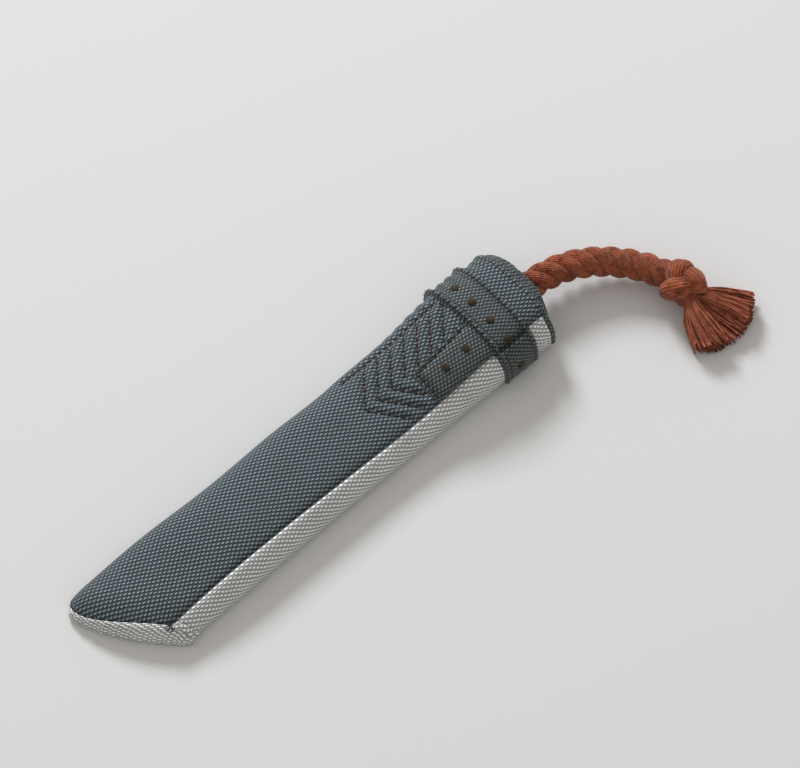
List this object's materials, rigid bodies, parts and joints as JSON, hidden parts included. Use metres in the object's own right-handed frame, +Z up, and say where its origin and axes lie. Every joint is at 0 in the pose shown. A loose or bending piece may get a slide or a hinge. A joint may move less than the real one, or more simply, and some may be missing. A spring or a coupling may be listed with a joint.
{
  "type": "training bumper",
  "caption": "Flat padded fabric training bumper with a curved front end, a pale edge strip, a gathered collar and a knotted twisted-rope tail.",
  "frame": {"origin": "middle of the padded bar's box, without the rope, on the surface that it lies on", "axes": "+X along the bar from its curved front end to the rope; +Y across it, away from the pale edge strip; +Z up"},
  "size_m": [0.3198, 0.1041, 0.0271],
  "materials": {
    "slate_fabric": "coarse plain-woven nylon, slate blue-grey, dull",
    "pale_fabric": "coarse plain-woven nylon, pale grey, dull",
    "rust_cotton": "three-strand twisted cotton, rust brown, matte",
    "brown_thread": "brown sewing thread",
    "dark_thread": "near-black loose yarn ends",
    "closed_cell_foam": "closed-cell foam filling"
  },
  "bodies": {
    "bumper": {"fill_core": "closed_cell_foam", "top_cover": "slate_fabric", "bottom_cover": "slate_fabric", "edge_strip": "pale_fabric", "tip_strip": "pale_fabric", "corner_threads": "dark_thread", "reinforcement_patch": "slate_fabric", "patch_dots": "brown_thread", "topstitch_threads": "brown_thread", "collar_band": "slate_fabric", "collar_front_hem": "slate_fabric", "collar_rear_hem": "slate_fabric", "collar_dots": "brown_thread", "end_panel": "slate_fabric", "end_seam_ridge": "slate_fabric", "rope_root": "rust_cotton", "inner_stop_knot": "rust_cotton", "anchor_binding": "brown_thread"},
    "rope_tail": {"rope": "rust_cotton", "rope_knot": "rust_cotton", "tassel": "rust_cotton"}
  },
  "joints": [
    {"name": "rope_swing", "type": "hinge", "parent": "bumper", "child": "rope_tail", "pos_m": [0.1333, -0.00085, 0.01243], "axis": [0, 0, 1], "range_deg": [-45, 70]}
  ]
}
